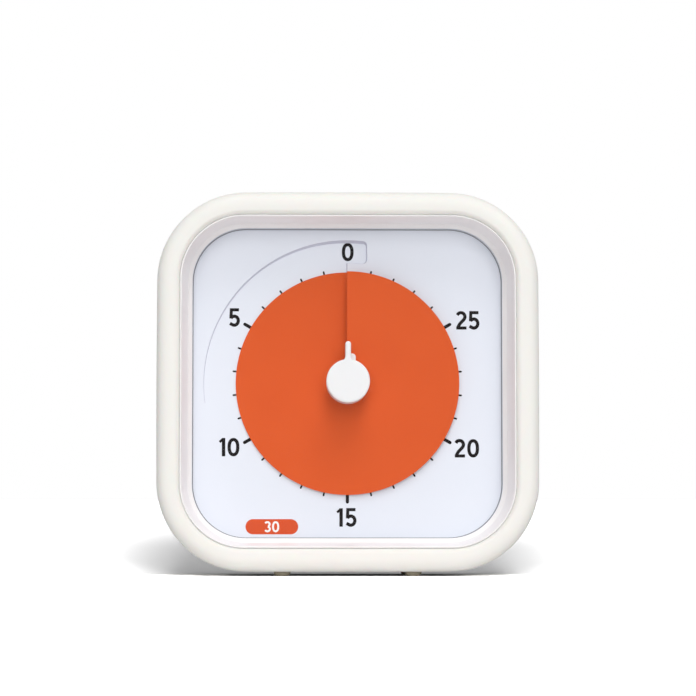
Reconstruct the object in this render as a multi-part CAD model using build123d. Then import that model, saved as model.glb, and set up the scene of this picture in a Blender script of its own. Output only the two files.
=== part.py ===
from build123d import *
from math import cos, pi, radians, sin
import os

# Visual countdown timer. Millimetres.
# Every piece is drawn in the face frame: x to the right, y up and z towards the viewer, with
# the dial's centre at x = y = 0 and the dial's front face at z = 0. face_frame carries it into
# the part's own frame: +Z up, front towards -Y, origin under the middle of the base.

# Overall block
body_width = 91.4
body_height = 90.8
body_depth = 46.0
corner_radius = 21.0            # of the outer block, seen from the front
side_bulge = 0.3                # how far each side swells between its corners
rim_height = 11.0               # sleeve's front rim above the dial face
foot_height = 1.05

# Silicone sleeve
sleeve_wall = 2.5
sleeve_lip_width = 5.6
sleeve_lip_thickness = 2.4
flange_depth = 5.0              # rear case left bare behind the sleeve
sleeve_front_round = 3.2
sleeve_lip_round = 1.4
sleeve_clearance = 0.1          # sleeve to hard case
foot_radius = 2.05
foot_flat_radius = 1.25
foot_stub_radius = 1.4
foot_stub_length = 1.5
foot_spacing_x = 31.4
foot_front_setback = 8.0        # foot centre behind the front rim
foot_back_setback = 6.0         # foot centre in front of the sleeve's back edge

# Hard case
case_wall = 2.0
rear_wall = 2.1
parting_height = -8.0           # where the front and rear cases meet
tongue_depth = 1.2
tongue_width = 0.9
tongue_clearance = 0.1
bead_height = 10.4              # bead round the window, above the dial face
bead_width = 0.5
bead_gap = 0.2                  # bead to sleeve lip
bead_round = 0.2
flange_gap = 0.15               # sleeve to the rear case's flange
flange_round = 3.0

# Window and dial
window_border = 8.0             # window's edge in from the block's side
window_corner = 13.0
lens_height = 3.5               # underside of the lens above the dial face
lens_thickness = 1.2
lens_ledge = 1.0                # width of the ledge that the lens rests on
lens_clearance = 0.1
lens_hole_radius = 5.6
dial_thickness = 1.5
dial_edge_clearance = 0.2
dial_hole_radius = 4.6

# Disk: one turn of a right-handed helicoid that screws through the dial
tick_band = 10.4                # disk's edge in from the window's
disk_thickness = 0.2
disk_pitch = 3.0
disk_span = 362.0               # degrees; the ends overlap at the slit
disk_gap = 0.08                 # disk to dial, front and back
dial_skin = 0.5                 # dial left over the disk where it has gone behind
ramp_border = 2.6               # ramp pocket's edge in from the window's
notch_width = 4.8               # step right of the slit
notch_depth = 5.6
notch_corner = 1.2
relief_margin = 1.5             # thinned dial beyond the disk's edge
relief_angle = 120.0            # degrees of dial thinned from behind

# Hub, knob and arbor
hub_radius = 4.2
hub_overhang = 0.6              # hub beyond the disk's track, each end
tab_width = 1.7
tab_offset = 1.1
tab_reach = 6.2
tab_thickness = 0.5
knob_radius = 5.2
knob_top = 10.4
knob_base = 3.1
knob_round = 0.5
fin_width = 1.35
fin_reach = 9.5
fin_gap = 0.4                   # fin above the lens
arbor_radius = 1.5
arbor_flat = 1.1                # axis to the D's flat
arbor_top = 9.0
arbor_fit = 0.02
slide_fit = 0.1                 # hub on the arbor

# Movement
cavity_depth = 5.0              # dial face back to the movement's plate
plate_half = 28.5
plate_corner = 4.0
plate_thickness = 1.2
shell_room = 0.9                # second wheel's teeth to the shell
shell_corner = 5.0
shell_wall = 1.2
shell_gap = 0.6                 # shell to the cell's trough
boss_spacing = 51.0             # movement screws, square
boss_radius = 2.2
small_screw_radius = 0.95
pilot_fit = 0.03
small_head_radius = 1.9
small_head_height = 1.2
pivot_radius = 0.5
pivot_fit = 0.05
train_module = 0.35
rotor_module = 0.25
wheel_teeth = 48
third_teeth = 40
pinion_teeth = 8
wheel_hub_radius = 2.6
wheel_share = 0.085             # wheel's thickness, as a share of the movement's depth
first_level_share = 0.189       # first mesh behind the plate, as such a share
level_step_share = 0.2075       # from one mesh to the next
third_angle = -40.0             # direction of each next arbor, in degrees
second_angle = -110.0
rotor_angle = 170.0
magnet_radius = 2.4
stator_gap = 0.5
stator_thickness = 1.0
coil_half_width = 2.8
coil_share = 0.264              # winding's half depth, as a share of the movement's depth
coil_wall_gap = 3.5             # winding to the shell's wall
coil_length = 15.0
washer_radius = 2.4             # friction spring
washer_lift = 0.1               # spring's feet to the wheel
collar_gap = 0.05               # spring to the arbor's rear collar
collar_thickness = 0.7
spring_leg_reach = 4.6
spring_leg_width = 1.2
spring_share = 0.08             # spring's height, as a share of the movement's depth
movement_screw_length = 4.2

# Battery, trough and door
cell_radius = 7.2
cell_length = 49.2
cell_nub_radius = 2.7
cell_nub_length = 1.3
cell_centre_y = -19.0
cell_gap = 0.3                  # cell to door
trough_half_length = 27.7
trough_half_width = 8.2
trough_wall = 1.5
trough_floor = 1.0
trough_gap = 0.1                # cell to the trough's floor
door_half_length = 31.0
door_half_width = 12.0
door_corner = 3.0
door_thickness = 1.8
door_gap = 0.2
door_seat_gap = 0.1
ledge_thickness = 1.5
tab_hook = 2.0
hook_thickness = 1.0
hook_width = 4.0
hook_spacing = 14.0
door_screw_inset = 1.6
door_screw_length = 3.4
contact_thickness = 0.4
contact_width = 9.0
spring_wire = 0.35
spring_radius = 3.6
spring_taper = 0.9              # how much the coil narrows towards the cell
spring_turns = 3

# Electronics at the back
board_width = 46.0
board_height = 26.0
board_centre_y = 18.5
board_thickness = 1.6
board_standoff = 5.1
standoff_radius = 2.2
buzzer_radius = 8.5
buzzer_x = 12.0
buzzer_y = 20.0
sound_hole_radius = 0.6
sound_hole_pitch = 2.5
slider_x = -13.0
slider_y = 22.0
slider_travel = 3.0
slider_length = 4.6
slider_width = 3.2
slider_clearance = 0.3
switch_length = 10.0
switch_width = 4.6
chip_blob_radius = 4.6
chip_blob_sunk = 2.0            # blob's centre below the board's face
crystal_x = 8.0
crystal_y = 12.0
crystal_radius = 1.1
crystal_length = 6.0
capacitor_x = -12.0
capacitor_y = 14.0
capacitor_radius = 2.5
capacitor_height = 5.5
resistor_y = 26.0
left_resistor_x = -6.0
right_resistor_x = 5.0
resistor_length = 3.2
resistor_width = 1.6
resistor_height = 0.6
board_screw_length = 4.6

# Case screws
case_screw_offset = 14.6        # from the corner's centre, along the diagonal
case_boss_radius = 3.2
case_boss_gap = 0.35            # boss's flat to the front case's wall
case_head_radius = 2.0
case_head_height = 1.6
case_head_bore = 2.3
case_screw_radius = 1.0
case_screw_seat = -9.5
case_screw_tip = 3.0

# Worked out from the values above
axis_z = foot_height + body_height / 2
dial_y = rim_height - body_depth / 2
back = rim_height - body_depth                      # rear face of the case
sleeve_length = body_depth - flange_depth
sleeve_back = rim_height - sleeve_length
foot_spacing_y = sleeve_length - foot_front_setback - foot_back_setback
case_inset = sleeve_wall + sleeve_clearance
hollow_inset = case_inset + case_wall
shoulder_height = rim_height - sleeve_lip_thickness - sleeve_clearance
bead_inset = sleeve_lip_width + bead_gap
window_half = min(body_width, body_height) / 2 - window_border
disk_radius = window_half - tick_band
ramp_radius = window_half - ramp_border
notch_inner_radius = ramp_radius - notch_depth
relief_radius = disk_radius + relief_margin
lens_top = lens_height + lens_thickness
track_start = -(dial_skin + disk_gap + disk_thickness / 2)
ramp_depth = -(track_start - disk_thickness / 2 - disk_gap)
plate_front = -cavity_depth
plate_back = plate_front - plate_thickness
wall_inside = back + rear_wall
door_inside = back + door_thickness
seat_height = door_inside + door_seat_gap
cell_height = door_inside + cell_gap + cell_radius
trough_inside = cell_height + cell_radius + trough_gap
shell_back = trough_inside + trough_floor + shell_gap
shell_depth = plate_back - shell_back
wheel_thickness = wheel_share * shell_depth
coil_half_depth = coil_share * shell_depth
spring_rise = spring_share * shell_depth
board_back = wall_inside + board_standoff
board_front = board_back + board_thickness
corner_x = body_width / 2 - corner_radius
corner_y = body_height / 2 - corner_radius
case_screw_x = corner_x + case_screw_offset * cos(pi / 4)
case_screw_y = corner_y + case_screw_offset * sin(pi / 4)
face_frame = Plane(origin=(0, dial_y, axis_z), x_dir=(1, 0, 0), z_dir=(0, -1, 0))


def slab(sketch, low, high):
    """Straight block between two heights of the face frame."""
    return extrude(Plane.XY.offset(low) * sketch, amount=high - low)


def outline(inset):
    """Rounded block outline, inset all round."""
    return RectangleRounded(body_width - 2 * inset, body_height - 2 * inset, corner_radius - inset)


def swelled_outline():
    """Outer outline, whose sides swell a little between the corners."""
    x, y = body_width / 2, body_height / 2
    low_x, low_y = x - side_bulge, y - side_bulge
    arcs = [ThreePointArc((-low_x, -low_y), (0, -y), (low_x, -low_y)),
            ThreePointArc((low_x, -low_y), (x, 0), (low_x, low_y)),
            ThreePointArc((low_x, low_y), (0, y), (-low_x, low_y)),
            ThreePointArc((-low_x, low_y), (-x, 0), (-low_x, -low_y))]
    face = make_face(arcs)
    return fillet(face.vertices(), corner_radius)


def window(offset=0.0):
    """Square window outline, set outwards."""
    side = 2 * (window_half + offset)
    return RectangleRounded(side, side, window_corner + offset)


def rod(x, y, radius, low, high):
    """Cylinder along the face frame's z."""
    return slab(Pos(x, y) * Circle(radius), low, high)


def bar(x, y, length, width, low, high, corner=0.0):
    """Upright block, with its corners rounded if asked."""
    if corner:
        return slab(Pos(x, y) * RectangleRounded(length, width, corner), low, high)
    return slab(Pos(x, y) * Rectangle(length, width), low, high)


def corners(spacing_x, spacing_y, centre_y=0.0):
    """The four corners of a rectangle."""
    return [(i * spacing_x / 2, centre_y + j * spacing_y / 2) for i in (-1, 1) for j in (-1, 1)]


def at_edges(shape, height):
    """Edges that lie flat at one height."""
    return shape.edges().filter_by(
        lambda e: abs(e.bounding_box().min.Z - height) < 1e-4
        and abs(e.bounding_box().max.Z - height) < 1e-4)


def sector(radius, start, end, inner=0.0):
    """Pie slice between two angles, counted anticlockwise from twelve o'clock."""
    far = radius * 1.5
    turn = [radians(90 + start + (end - start) * i / 4) for i in range(5)]
    wedge = Polygon(*[(0, 0)] + [(far * cos(a), far * sin(a)) for a in turn], align=None)
    ring = Circle(radius)
    if inner:
        ring -= Circle(inner)
    return wedge & ring


def helicoid(inner, outer, low, high, start, span):
    """Rectangular section swept up the disk's track; heights are from the track."""
    middle = (inner + outer) / 2
    path = Helix(pitch=disk_pitch, height=disk_pitch * span / 360, radius=middle)
    section = Plane.XZ * Pos(middle, (low + high) / 2) * Rectangle(outer - inner, high - low)
    turned = Solid.sweep(section.faces()[0], path, is_frenet=True)
    lift = track_start + disk_pitch * start / 360
    return Pos(0, 0, lift) * Rot(0, 0, 90 + start) * turned


def gear(teeth, module, toward, tooth=True, thickness=0.40):
    """Spur gear outline with a tooth, or a gap, centred on one direction."""
    pitch_radius = teeth * module / 2
    step = 2 * pi / teeth
    start = radians(toward) + (0 if tooth else step / 2)
    levels = [(-1.25, 0.27), (0.0, thickness / 2), (0.85, 0.09)]
    half = [(pitch_radius + a * module, b * step) for a, b in levels]
    points = []
    for i in range(teeth):
        middle = start + i * step
        for r, w in half:
            points.append((r * cos(middle - w), r * sin(middle - w)))
        for r, w in reversed(half):
            points.append((r * cos(middle + w), r * sin(middle + w)))
    return make_face(Polyline(*points, close=True))


def step_from(point, distance, angle):
    """Point at a distance and direction from another."""
    return (point[0] + distance * cos(radians(angle)), point[1] + distance * sin(radians(angle)))


# ---- sleeve and feet

def make_sleeve():
    body = slab(swelled_outline(), sleeve_back, rim_height)
    body = fillet(at_edges(body, rim_height), sleeve_front_round)
    body -= slab(outline(sleeve_wall), sleeve_back, rim_height - sleeve_lip_thickness)
    body -= slab(outline(sleeve_lip_width), 0, rim_height)
    mouth = [e for e in at_edges(body, rim_height)
             if abs(e.center().X) < body_width / 2 - sleeve_lip_width + 0.5
             and abs(e.center().Y) < body_height / 2 - sleeve_lip_width + 0.5]
    body = fillet(mouth, sleeve_lip_round)
    for x, height in foot_places():
        hole = Plane(origin=(x, -body_height / 2 - side_bulge, height), z_dir=(0, 1, 0))
        body -= extrude(hole * Circle(foot_stub_radius), amount=foot_stub_length + side_bulge)
    return body


def foot_places():
    front = rim_height - foot_front_setback
    return [(i * foot_spacing_x / 2, front - j * foot_spacing_y) for i in (-1, 1) for j in (0, 1)]


def make_feet():
    """Domed nubs with a small flat to stand on, each on a stub pressed into the sleeve."""
    profile = Polyline((0, -foot_height), (foot_flat_radius, -foot_height))
    dome = ThreePointArc((foot_flat_radius, -foot_height),
                         (foot_radius - 0.25, -foot_height * 0.68), (foot_radius, -0.0))
    rest = Polyline((foot_radius, 0), (foot_stub_radius, 0), (foot_stub_radius, foot_stub_length),
                    (0, foot_stub_length), (0, -foot_height))
    nub = revolve(Plane.XY * make_face([profile, dome, rest]), Axis.Y)
    return Compound([Pos(x, -body_height / 2, height) * nub for x, height in foot_places()])


# ---- case, lens and dial

def case_screw_places():
    return corners(2 * case_screw_x, 2 * case_screw_y)


def make_front_case():
    body = slab(outline(case_inset), parting_height, shoulder_height)
    body += slab(outline(bead_inset), shoulder_height, bead_height)
    body -= slab(outline(hollow_inset), parting_height, 0)
    body -= slab(window(), 0, lens_height)
    seat = Plane.XY.offset(lens_height) * window(lens_ledge)
    mouth = Plane.XY.offset(bead_height) * outline(bead_inset + bead_width)
    body -= loft([seat.faces()[0], mouth.faces()[0]], ruled=True)
    groove = outline(hollow_inset - tongue_width - tongue_clearance)
    body -= slab(groove, parting_height, parting_height + tongue_depth + tongue_clearance)
    for x, y in case_screw_places():
        body -= rod(x, y, case_screw_radius + pilot_fit, 0, case_screw_tip + 0.4)
    body = fillet(at_edges(body, bead_height), bead_round)
    return body


def make_lens():
    body = slab(window(lens_ledge - lens_clearance), lens_height, lens_top)
    return body - rod(0, 0, lens_hole_radius, lens_height, lens_top)


def make_dial_plate():
    body = slab(outline(hollow_inset + dial_edge_clearance), -dial_thickness, 0)
    for x, y in corners(boss_spacing, boss_spacing):
        body += rod(x, y, boss_radius, plate_front, -dial_thickness)
    body -= rod(0, 0, dial_hole_radius, -dial_thickness, 0)
    low = -disk_thickness / 2 - disk_gap
    ramp_end = 360 * ramp_depth / disk_pitch
    body -= helicoid(hub_radius - 1.0, ramp_radius, low, low + disk_pitch, 0, ramp_end + 1)
    notch = sector(ramp_radius, -30, 0, notch_inner_radius) & (
        Pos(0, ramp_radius / 2) * Rectangle(2 * notch_width, ramp_radius * 1.1))
    notch = fillet(notch.vertices().sort_by(Axis.X)[-2:], notch_corner)
    body -= slab(notch, -ramp_depth, 0)
    body -= slab(sector(relief_radius, -relief_angle, 0), -dial_thickness, -dial_skin)
    tab_room = tab_reach + tab_width / 2 + 0.4
    body -= slab(sector(tab_room, -24, 0), -dial_thickness, 0)
    for x, y in case_screw_places():
        body -= rod(x, y, case_screw_radius + 0.2, -dial_thickness, 0)
    for x, y in corners(boss_spacing, boss_spacing):
        body -= rod(x, y, small_screw_radius + pilot_fit, plate_front, -dial_thickness - 0.2)
    return body


# ---- disk, hub, knob and arbor

def d_section(radius, flat):
    """Round shaft section with one flat."""
    return Circle(radius) & (Pos(flat - radius, 0) * Rectangle(2 * radius, 2.2 * radius))


def make_disk():
    half = disk_thickness / 2
    return helicoid(hub_radius, disk_radius, -half, half, 360 - disk_span, disk_span)


def make_hub():
    low = track_start - hub_overhang
    high = track_start + disk_pitch + hub_overhang
    body = rod(0, 0, hub_radius, low, high)
    tab_low = track_start + disk_pitch + disk_thickness / 2
    tab = Pos(tab_offset, tab_reach / 2) * Rectangle(tab_width, tab_reach)
    tab += Pos(tab_offset, tab_reach) * Circle(tab_width / 2)
    body += slab(tab, tab_low, tab_low + tab_thickness)
    return body - slab(d_section(arbor_radius + slide_fit, arbor_flat + slide_fit), low, high)


def make_knob():
    body = rod(0, 0, knob_radius, knob_base, knob_top)
    fin = Pos(0, fin_reach / 2 - fin_width / 4) * Rectangle(fin_width, fin_reach - fin_width / 2)
    fin += Pos(0, fin_reach - fin_width / 2) * Circle(fin_width / 2)
    root = (Pos(0, knob_radius) * Rectangle(3 * fin_width, 2.0)) - (
        Pos(2.0 * fin_width, knob_radius + 1.0) * Circle(1.5 * fin_width)) - (
        Pos(-2.0 * fin_width, knob_radius + 1.0) * Circle(1.5 * fin_width))
    body += slab(fin + root, lens_top + fin_gap, knob_top)
    body = fillet(at_edges(body, knob_top), knob_round)
    bore = d_section(arbor_radius + arbor_fit, arbor_flat + arbor_fit)
    return body - slab(bore, knob_base, arbor_top + 0.1)


def wheel_levels():
    """Heights of the three gear meshes behind the movement's front plate."""
    return [plate_back - (first_level_share + i * level_step_share) * shell_depth
            for i in range(3)]


def make_arbor():
    level = wheel_levels()[0]
    half = wheel_thickness / 2
    body = slab(d_section(arbor_radius, arbor_flat), plate_front, arbor_top)
    body += rod(0, 0, arbor_radius, shell_back + shell_wall + 0.3, plate_front)
    body += rod(0, 0, pivot_radius * 2, shell_back + 0.4, shell_back + shell_wall + 0.3)
    body += rod(0, 0, wheel_hub_radius, level + half + 0.1, level + half + 0.7)
    collar = level - half - spring_rise - collar_gap
    body += rod(0, 0, wheel_hub_radius - 0.4, collar - collar_thickness, collar)
    return body


def make_friction_spring():
    """Three-legged dished washer that presses the wheel against the arbor's collar."""
    wheel_back = wheel_levels()[0] - wheel_thickness / 2
    strip = 0.3 * spring_rise
    low = wheel_back - spring_rise
    washer = rod(0, 0, washer_radius, low, low + strip)
    for i in range(3):
        leg = bar((arbor_radius + spring_leg_reach) / 2, 0, spring_leg_reach - arbor_radius,
                  spring_leg_width, low + strip, low + 2 * strip)
        leg += rod(spring_leg_reach, 0, spring_leg_width / 2, low + strip,
                   wheel_back - washer_lift)
        leg += bar((arbor_radius + washer_radius) / 2, 0, washer_radius - arbor_radius,
                   spring_leg_width, low, low + 2 * strip)
        washer += Rot(0, 0, 90 + 120 * i) * leg
    return washer - rod(0, 0, arbor_radius + 0.1, low, wheel_back)


# ---- gear train and motor

def train_places():
    """Arbors of the third wheel, second wheel and rotor."""
    third = step_from((0, 0), train_module * (wheel_teeth + pinion_teeth) / 2, third_angle)
    second = step_from(third, train_module * (third_teeth + pinion_teeth) / 2, second_angle)
    rotor = step_from(second, rotor_module * (wheel_teeth + pinion_teeth) / 2, rotor_angle)
    return third, second, rotor


def shell_half():
    """Half the shell's width: the second wheel sets it."""
    wheel_reach = rotor_module * (wheel_teeth / 2 + 0.85)
    return wheel_reach - train_places()[1][1] + shell_room + shell_wall


def coil_place():
    return shell_wall + coil_wall_gap + coil_half_width - shell_half()


def make_center_wheel():
    level = wheel_levels()[0]
    half = wheel_thickness / 2
    body = slab(gear(wheel_teeth, train_module, third_angle), level - half, level + half)
    for i in range(4):
        x, y = step_from((0, 0), 5.3, 45 + 90 * i)
        body -= rod(x, y, 1.5, level - half, level + half)
    return body - rod(0, 0, arbor_radius + pivot_fit, level - half, level + half)


def make_arbored(place, wheel, wheel_level, pinion, pinion_level, low, high):
    """Wheel and pinion on one thin arbor with a pivot at each end."""
    half = wheel_thickness / 2
    body = rod(0, 0, pivot_radius, low, high)
    body += slab(pinion, pinion_level - half - 0.3, pinion_level + half + 0.3)
    if wheel:
        body += slab(wheel, wheel_level - half, wheel_level + half)
        body += rod(0, 0, 1.1, min(wheel_level, pinion_level), max(wheel_level, pinion_level))
    return Pos(*place) * body


def make_train():
    third, second, rotor = train_places()
    one, two, three = wheel_levels()
    low, high = shell_back + 0.4, plate_back + plate_thickness - 0.3
    third_wheel = make_arbored(
        third, gear(third_teeth, train_module, second_angle), two,
        gear(pinion_teeth, train_module, third_angle + 180, False), one, low, high)
    second_wheel = make_arbored(
        second, gear(wheel_teeth, rotor_module, rotor_angle), three,
        gear(pinion_teeth, train_module, second_angle + 180, False), two, low, high)
    rotor_solid = make_arbored(
        rotor, None, three,
        gear(pinion_teeth, rotor_module, rotor_angle + 180, False), three, low, high)
    magnet = rod(*rotor, magnet_radius, two - 0.6, two + 1.4)
    return third_wheel, second_wheel, rotor_solid + magnet


def make_stator():
    """Flat lamination: the eye round the rotor and the two arms to the coil's core."""
    rotor = train_places()[2]
    coil_x = coil_place()
    level = wheel_levels()[1] + 0.4
    low, high = level - stator_thickness / 2, level + stator_thickness / 2
    arm_end = coil_length / 2 + 2.2
    eye = Pos(*rotor) * Circle(magnet_radius + stator_gap + 1.3)
    arm = Pos((coil_x + rotor[0]) / 2 - 1.0, rotor[1]) * Rectangle(rotor[0] - coil_x, 3.2)
    foot = Pos(coil_x, (rotor[1] - arm_end) / 2) * Rectangle(5.0, abs(rotor[1] + arm_end) + 3.2)
    core = Pos(coil_x, 0) * Rectangle(2.2, 2 * arm_end)
    head = Pos(coil_x + 1.5, arm_end) * Rectangle(8.0, 3.0)
    plate = eye + arm + foot + core + head
    plate -= Pos(*rotor) * Circle(magnet_radius + stator_gap)
    return slab(plate, low, high)


def make_coil():
    """Winding on its flanged bobbin, round the stator's core."""
    level = wheel_levels()[1] + 0.4
    half = coil_length / 2
    coil_x = coil_place()
    base = Plane(origin=(coil_x, -half, level), x_dir=(1, 0, 0), z_dir=(0, 1, 0))
    winding = extrude(base * Ellipse(coil_half_width, coil_half_depth), amount=coil_length)
    for start in (0, coil_length - 0.8):
        cheek = Ellipse(coil_half_width + 0.2, coil_half_depth + 0.2)
        winding += extrude(base.offset(start) * cheek, amount=0.8)
    core = bar(coil_x, 0, 2.2, coil_length, level - stator_thickness / 2,
               level + stator_thickness / 2)
    return winding - core


def make_movement_front():
    body = bar(0, 0, 2 * plate_half, 2 * plate_half, plate_back, plate_front, plate_corner)
    for x, y in corners(boss_spacing, boss_spacing):
        body -= rod(x, y, small_screw_radius + 0.15, plate_back, plate_front)
    body -= rod(0, 0, arbor_radius + pivot_fit, plate_back, plate_front)
    for x, y in train_places():
        body -= rod(x, y, pivot_radius + pivot_fit, plate_back, plate_front)
    return body


def make_movement_rear():
    side = 2 * shell_half()
    body = bar(0, 0, side, side, shell_back, plate_back, shell_corner)
    body = chamfer(at_edges(body, shell_back), 0.5)
    inside = side - 2 * shell_wall
    body -= bar(0, 0, inside, inside, shell_back + shell_wall, plate_back,
                shell_corner - shell_wall)
    body -= rod(0, 0, 2 * pivot_radius + pivot_fit, shell_back + 0.3, shell_back + shell_wall)
    for x, y in train_places():
        body -= rod(x, y, pivot_radius + pivot_fit, shell_back + 0.3, shell_back + shell_wall)
    level = wheel_levels()[1] + 0.4 - stator_thickness / 2
    end = coil_length / 2 + 2.2
    for x, y in ((coil_place(), end), (coil_place(), train_places()[2][1])):
        body += rod(x, y, 1.4, shell_back + shell_wall, level)
    return body


def make_small_screw(head_radius, head_height, shank_radius, shank_length):
    """Pan-head screw with a cross recess; its head sits on z = 0 and its shank points up."""
    head = chamfer(rod(0, 0, head_radius, -head_height, 0).edges().group_by(Axis.Z)[0],
                   0.25 * head_height)
    cross = Rectangle(head_radius * 1.1, head_radius * 0.32)
    cross += Rectangle(head_radius * 0.32, head_radius * 1.1)
    head -= slab(cross, -head_height, -head_height * 0.5)
    return head + rod(0, 0, shank_radius, 0, shank_length)


def make_movement_screws():
    screw = make_small_screw(small_head_radius, small_head_height, small_screw_radius,
                             movement_screw_length)
    return Compound([Pos(x, y, plate_back) * screw for x, y in corners(boss_spacing, boss_spacing)])


# ---- rear case

def make_rear_case():
    body = slab(swelled_outline(), back, sleeve_back - flange_gap)
    body = fillet(at_edges(body, back), flange_round)
    body += slab(outline(case_inset), sleeve_back - flange_gap, parting_height)
    body -= slab(outline(hollow_inset), wall_inside, parting_height)
    tongue = outline(hollow_inset - tongue_width) - outline(hollow_inset)
    body += slab(tongue, parting_height - 0.6, parting_height + tongue_depth)
    for x, y in case_screw_places():
        body += rod(x, y, case_boss_radius, wall_inside - 1.0, parting_height - 1.0)
        body += flatted_boss(x, y)
    body += trough_solid()
    body -= trough_space()
    for x, y in case_screw_places():
        body -= rod(x, y, case_head_bore, back, case_screw_seat)
        body -= rod(x, y, case_screw_radius + 0.2, case_screw_seat, -dial_thickness)
    body -= sound_holes()
    body -= slider_room()
    for x, y in board_screw_places():
        body += rod(x, y, standoff_radius, wall_inside - 0.5, board_back)
        body -= rod(x, y, small_screw_radius + pilot_fit, wall_inside + 0.6, board_back)
    return body


def flatted_boss(x, y):
    """Upper end of a case boss, flatted to clear the front case's wall."""
    reach = corner_radius - hollow_inset - case_boss_gap - case_screw_offset
    outward = 45 if x * y > 0 else -45
    if x < 0:
        outward += 180
    keep = Pos(reach - case_boss_radius, 0) * Rectangle(2 * case_boss_radius, 3 * case_boss_radius)
    section = Circle(case_boss_radius) & keep
    return Pos(x, y) * Rot(0, 0, outward) * slab(section, parting_height - 1.5, -dial_thickness)


def trough_solid():
    """Walls round the cell, the ledge under the door and the boss of the door's screw."""
    wall_x = trough_half_length + trough_wall
    wall_y = trough_half_width + trough_wall
    body = bar(0, cell_centre_y, 2 * wall_x, 2 * wall_y, seat_height,
               trough_inside + trough_floor, 2.0)
    margin = ledge_thickness + door_gap
    body += bar(0, cell_centre_y, 2 * (door_half_length + margin + tab_hook),
                2 * (door_half_width + margin), back + 1.0, seat_height + ledge_thickness,
                door_corner + margin)
    x = door_half_length - door_screw_inset
    body += rod(x, cell_centre_y, 2.4, seat_height, seat_height + ledge_thickness + 3.0)
    return body


def trough_space():
    """What is cut away: the door's recess, the cell's space, hook slots and the screw hole."""
    space = bar(0, cell_centre_y, 2 * trough_half_length, 2 * trough_half_width, back,
                trough_inside, 0.8)
    space += bar(0, cell_centre_y, 2 * (door_half_length + door_gap),
                 2 * (door_half_width + door_gap), back, seat_height, door_corner + door_gap)
    low_x = -(door_half_length + tab_hook + 0.4)
    high_x = -trough_half_length + 0.8
    for side in (-1, 1):
        y = cell_centre_y + side * hook_spacing / 2
        space += bar((low_x + high_x) / 2, y, high_x - low_x, hook_width + 0.6,
                     wall_inside, seat_height + ledge_thickness + 2.2)
        space += bar((high_x - door_half_length) / 2, y, high_x + door_half_length,
                     hook_width + 0.6, back, wall_inside)
    x = door_half_length - door_screw_inset
    space += rod(x, cell_centre_y, small_screw_radius + 0.22, seat_height,
                 seat_height + ledge_thickness + 2.4)
    return space


def sound_holes():
    """Centre hole and two rings of six and twelve."""
    holes = rod(buzzer_x, buzzer_y, sound_hole_radius, back, wall_inside)
    for ring in (1, 2):
        for i in range(6 * ring):
            x, y = step_from((buzzer_x, buzzer_y), ring * sound_hole_pitch, 360 * i / (6 * ring))
            holes += rod(x, y, sound_hole_radius, back, wall_inside)
    return holes


def slider_room():
    """Shallow finger recess with the slot that the slider's cap moves in."""
    length = slider_length + slider_travel
    dish = bar(slider_x, slider_y, length + 6.0, slider_width + 4.0, back, back + 0.9, 2.6)
    slot = bar(slider_x, slider_y, length + 2 * slider_clearance,
               slider_width + 2 * slider_clearance, back, wall_inside, 0.8)
    return dish + slot


def board_screw_places():
    return corners(board_width - 6.0, board_height - 6.0, board_centre_y)


def make_case_screws():
    length = case_screw_tip - case_screw_seat
    screw = make_small_screw(case_head_radius, case_head_height, case_screw_radius, length)
    return Compound([Pos(x, y, case_screw_seat) * screw for x, y in case_screw_places()])


# ---- battery door and battery

def make_door():
    body = bar(0, cell_centre_y, 2 * door_half_length, 2 * door_half_width, back, door_inside,
               door_corner)
    body = fillet(at_edges(body, back), 0.4)
    hook_low = wall_inside + 0.1
    for side in (-1, 1):
        y = cell_centre_y + side * hook_spacing / 2
        body += bar(-door_half_length + 0.75, y, 1.5, hook_width, door_inside,
                    hook_low + hook_thickness)
        body += bar(-door_half_length + (1.5 - tab_hook) / 2, y, tab_hook + 1.5, hook_width,
                    hook_low, hook_low + hook_thickness)
    for i in range(5):
        body -= bar(-20 + 2.2 * i, cell_centre_y, 0.8, 13.0, back, back + 0.35, 0.39)
    x = door_half_length - door_screw_inset
    body -= rod(x, cell_centre_y, small_screw_radius + 0.1, back, door_inside)
    body -= rod(x, cell_centre_y, small_head_radius - 0.45, back, back + 0.95)
    return body


def make_door_screw():
    screw = make_small_screw(small_head_radius - 0.55, 0.9, small_screw_radius, door_screw_length)
    return Pos(door_half_length - door_screw_inset, cell_centre_y, back + 0.95) * screw


def make_cell():
    """AA cell lying along x, its nub against the positive contact."""
    end = trough_half_length - 0.3 - contact_thickness - cell_nub_length
    base = Plane(origin=(end - cell_length, cell_centre_y, cell_height), z_dir=(1, 0, 0))
    body = extrude(base * Circle(cell_radius), amount=cell_length)
    body = fillet(body.edges().filter_by(GeomType.CIRCLE), 0.5)
    body += extrude(base.offset(cell_length) * Circle(cell_nub_radius), amount=cell_nub_length)
    return body


def make_contact_plate(x):
    height = 2 * cell_radius - 3.0
    plate = Box(contact_thickness, contact_width, height)
    return Pos(x, cell_centre_y, cell_height) * plate


def make_positive_contact():
    return make_contact_plate(trough_half_length - 0.3 - contact_thickness / 2)


def make_negative_contact():
    """Plate with a conical coil spring that presses on the cell."""
    inside = -trough_half_length + 0.2 + contact_thickness
    cell_end = trough_half_length - 0.3 - contact_thickness - cell_nub_length - cell_length
    length = cell_end - inside - 2 * spring_wire
    sections = []
    steps = 12 * spring_turns
    for i in range(steps + 1):
        turn = 360 * i / 12
        radius = spring_radius - spring_taper * i / steps
        wire = Plane.XZ * Pos(radius, length * i / steps) * RegularPolygon(spring_wire, 6)
        sections.append((Rot(0, 0, turn) * wire).faces()[0])
    coil = loft(sections, ruled=True)
    coil = Pos(inside + spring_wire, cell_centre_y, cell_height) * Rot(0, 90, 0) * coil
    return make_contact_plate(inside - contact_thickness / 2) + coil


# ---- electronics

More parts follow.
